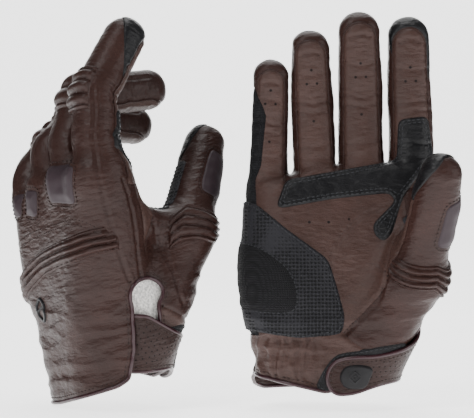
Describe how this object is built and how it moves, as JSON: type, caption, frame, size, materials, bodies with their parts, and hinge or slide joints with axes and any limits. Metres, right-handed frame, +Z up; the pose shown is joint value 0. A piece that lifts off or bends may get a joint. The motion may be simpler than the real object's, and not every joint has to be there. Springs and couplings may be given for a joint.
{
  "type": "riding gloves",
  "caption": "Pair of short-cuff leather riding gloves with knuckle guard, palm slider, ribbed joints, vented cuff and hook-and-loop wrist strap.",
  "frame": {"origin": "centre of the left glove's cuff opening", "axes": "+Z up towards the fingertips, +X from the left glove to the right glove, +Y away from the right glove's palm, towards its back"},
  "size_m": [0.2681, 0.1364, 0.2287],
  "materials": {
    "brown_leather": "satin grained",
    "palm_leather": "matte grained",
    "black_knit": "matte ribbed knit",
    "lining_fabric": "matte soft",
    "guard_rubber": "satin",
    "black_mesh": "matte coarse mesh",
    "black_leather": "satin",
    "maroon_binding": "glossy",
    "black_loop": "matte looped",
    "pull_rubber": "satin"
  },
  "bodies": {
    "left_hand": {"left_back_panel": "brown_leather", "left_palm_panel": "palm_leather", "left_side_panel": "black_knit", "left_hand_lining": "lining_fabric", "left_knuckle_guard": "guard_rubber", "left_back_ribs": "brown_leather", "left_palm_slider": "black_mesh", "left_palm_grip_patch": "black_leather", "left_cuff_binding": "maroon_binding", "left_loop_patch": "black_loop", "left_thumb_panel": "brown_leather"},
    "left_index": {"left_index_base": "brown_leather", "left_index_gussets": "brown_leather"},
    "left_index_end": {"left_index_tip": "brown_leather"},
    "left_middle": {"left_middle_base": "brown_leather", "left_middle_gussets": "brown_leather"},
    "left_middle_end": {"left_middle_tip": "brown_leather"},
    "left_ring": {"left_ring_base": "brown_leather", "left_ring_gussets": "brown_leather"},
    "left_ring_end": {"left_ring_tip": "brown_leather"},
    "left_little": {"left_little_base": "brown_leather", "left_little_gussets": "brown_leather"},
    "left_little_end": {"left_little_tip": "brown_leather"},
    "left_thumb": {"left_thumb_base": "brown_leather", "left_thumb_gussets": "brown_leather"},
    "left_thumb_end": {"left_thumb_tip": "brown_leather", "left_thumb_guard": "guard_rubber"},
    "left_strap": {"left_strap": "brown_leather", "left_strap_badge": "pull_rubber", "left_hook_patch": "black_loop"},
    "right_hand": {"right_back_panel": "brown_leather", "right_palm_panel": "palm_leather", "right_side_panel": "black_knit", "right_hand_lining": "lining_fabric", "right_knuckle_guard": "guard_rubber", "right_back_ribs": "brown_leather", "right_palm_slider": "black_mesh", "right_palm_grip_patch": "black_leather", "right_cuff_binding": "maroon_binding", "right_loop_patch": "black_loop", "right_thumb_panel": "brown_leather"},
    "right_index": {"right_index_base": "brown_leather", "right_index_gussets": "brown_leather"},
    "right_index_end": {"right_index_tip": "brown_leather"},
    "right_middle": {"right_middle_base": "brown_leather", "right_middle_gussets": "brown_leather"},
    "right_middle_end": {"right_middle_tip": "brown_leather"},
    "right_ring": {"right_ring_base": "brown_leather", "right_ring_gussets": "brown_leather"},
    "right_ring_end": {"right_ring_tip": "brown_leather"},
    "right_little": {"right_little_base": "brown_leather", "right_little_gussets": "brown_leather"},
    "right_little_end": {"right_little_tip": "brown_leather"},
    "right_thumb": {"right_thumb_base": "brown_leather", "right_thumb_gussets": "brown_leather"},
    "right_thumb_end": {"right_thumb_tip": "brown_leather", "right_thumb_guard": "guard_rubber"},
    "right_strap": {"right_strap": "brown_leather", "right_strap_badge": "pull_rubber", "right_hook_patch": "black_loop"}
  },
  "joints": [
    {"name": "left_index_root", "type": "hinge", "parent": "left_hand", "child": "left_index", "pos_m": [-0.00379, -0.03994, 0.14383], "axis": [-0.4937, 0.8566, -0.1498], "range_deg": [-15, 45], "deforming": ["left_index_gussets"]},
    {"name": "left_index_middle_joint", "type": "hinge", "parent": "left_index", "child": "left_index_end", "pos_m": [-0.00424, -0.03589, 0.1685], "axis": [-0.4937, 0.8566, -0.1498], "range_deg": [-28, 52], "deforming": ["left_index_gussets"]},
    {"name": "left_middle_root", "type": "hinge", "parent": "left_hand", "child": "left_middle", "pos_m": [-0.01882, -0.01464, 0.14139], "axis": [-0.4958, 0.8569, -0.1413], "range_deg": [-30, 30], "deforming": ["left_middle_gussets"]},
    {"name": "left_middle_middle_joint", "type": "hinge", "parent": "left_middle", "child": "left_middle_end", "pos_m": [-0.01311, -0.00717, 0.1667], "axis": [-0.4958, 0.8569, -0.1413], "range_deg": [-64, 16], "deforming": ["left_middle_gussets"]},
    {"name": "left_ring_root", "type": "hinge", "parent": "left_hand", "child": "left_ring", "pos_m": [-0.03214, 0.00888, 0.13626], "axis": [-0.4894, 0.856, -0.1667], "range_deg": [-57, 3], "deforming": ["left_ring_gussets"]},
    {"name": "left_ring_middle_joint", "type": "hinge", "parent": "left_ring", "child": "left_ring_end", "pos_m": [-0.01805, 0.02029, 0.15347], "axis": [-0.4894, 0.856, -0.1667], "range_deg": [-48, 32], "deforming": ["left_ring_gussets"]},
    {"name": "left_little_root", "type": "hinge", "parent": "left_hand", "child": "left_little", "pos_m": [-0.04414, 0.03206, 0.12631], "axis": [-0.5076, 0.8569, -0.0903], "range_deg": [-50, 10], "deforming": ["left_little_gussets"]},
    {"name": "left_little_middle_joint", "type": "hinge", "parent": "left_little", "child": "left_little_end", "pos_m": [-0.03407, 0.03966, 0.14182], "axis": [-0.5076, 0.8569, -0.0903], "range_deg": [-58, 22], "deforming": ["left_little_gussets"]},
    {"name": "left_thumb_root", "type": "hinge", "parent": "left_hand", "child": "left_thumb", "pos_m": [0.04274, -0.00092, 0.089], "axis": [0.8423, 0.353, -0.4074], "range_deg": [-8, 24], "deforming": ["left_thumb_gussets"]},
    {"name": "left_thumb_upper_joint", "type": "hinge", "parent": "left_thumb", "child": "left_thumb_end", "pos_m": [0.05018, 0.02145, 0.12377], "axis": [0.8423, 0.353, -0.4074], "range_deg": [-48, 2], "deforming": ["left_thumb_gussets"]},
    {"name": "left_strap_fold", "type": "hinge", "parent": "left_hand", "child": "left_strap", "pos_m": [-0.01026, -0.03911, 0.01405], "axis": [0.225, 0, -0.9744], "range_deg": [0, 100]},
    {"name": "right_index_root", "type": "hinge", "parent": "right_hand", "child": "right_index", "pos_m": [0.1764, -0.004, 0.141], "axis": [0.9994, 0, 0.0349], "range_deg": [0, 60], "deforming": ["right_index_gussets"]},
    {"name": "right_index_middle_joint", "type": "hinge", "parent": "right_index", "child": "right_index_end", "pos_m": [0.17553, -0.004, 0.16598], "axis": [0.9994, 0, 0.0349], "range_deg": [-6, 74], "deforming": ["right_index_gussets"]},
    {"name": "right_middle_root", "type": "hinge", "parent": "right_hand", "child": "right_middle", "pos_m": [0.14689, -0.004, 0.142], "axis": [0.9997, 0, 0.0262], "range_deg": [-2, 58], "deforming": ["right_middle_gussets"]},
    {"name": "right_middle_middle_joint", "type": "hinge", "parent": "right_middle", "child": "right_middle_end", "pos_m": [0.14618, -0.00494, 0.16897], "axis": [0.9997, 0, 0.0262], "range_deg": [-8, 72], "deforming": ["right_middle_gussets"]},
    {"name": "right_ring_root", "type": "hinge", "parent": "right_hand", "child": "right_ring", "pos_m": [0.11945, -0.004, 0.14], "axis": [0.9986, 0, 0.0523], "range_deg": [-2, 58], "deforming": ["right_ring_gussets"]},
    {"name": "right_ring_middle_joint", "type": "hinge", "parent": "right_ring", "child": "right_ring_end", "pos_m": [0.11814, -0.00487, 0.16495], "axis": [0.9986, 0, 0.0523], "range_deg": [-8, 72], "deforming": ["right_ring_gussets"]},
    {"name": "right_little_root", "type": "hinge", "parent": "right_hand", "child": "right_little", "pos_m": [0.0924, -0.004, 0.133], "axis": [0.9997, 0, -0.0262], "range_deg": [-2, 58], "deforming": ["right_little_gussets"]},
    {"name": "right_little_middle_joint", "type": "hinge", "parent": "right_little", "child": "right_little_end", "pos_m": [0.09292, -0.0047, 0.15298], "axis": [0.9997, 0, -0.0262], "range_deg": [-8, 72], "deforming": ["right_little_gussets"]},
    {"name": "right_thumb_root", "type": "hinge", "parent": "right_hand", "child": "right_thumb", "pos_m": [0.176, -0.02923, 0.06617], "axis": [-0.1336, 0.8597, 0.4931], "range_deg": [-14, 18], "deforming": ["right_thumb_gussets"]},
    {"name": "right_thumb_upper_joint", "type": "hinge", "parent": "right_thumb", "child": "right_thumb_end", "pos_m": [0.18446, -0.0487, 0.10241], "axis": [-0.1336, 0.8597, 0.4931], "range_deg": [-48, 2], "deforming": ["right_thumb_gussets"]},
    {"name": "right_strap_fold", "type": "hinge", "parent": "right_hand", "child": "right_strap", "pos_m": [0.1574, 0.026, 0.016], "axis": [0, 0, 1], "range_deg": [0, 100]},
    {"name": "right_glove_slide", "type": "slide", "parent": "left_hand", "child": "right_hand", "axis": [1, 0, 0], "range_m": [0, 0.15]}
  ]
}
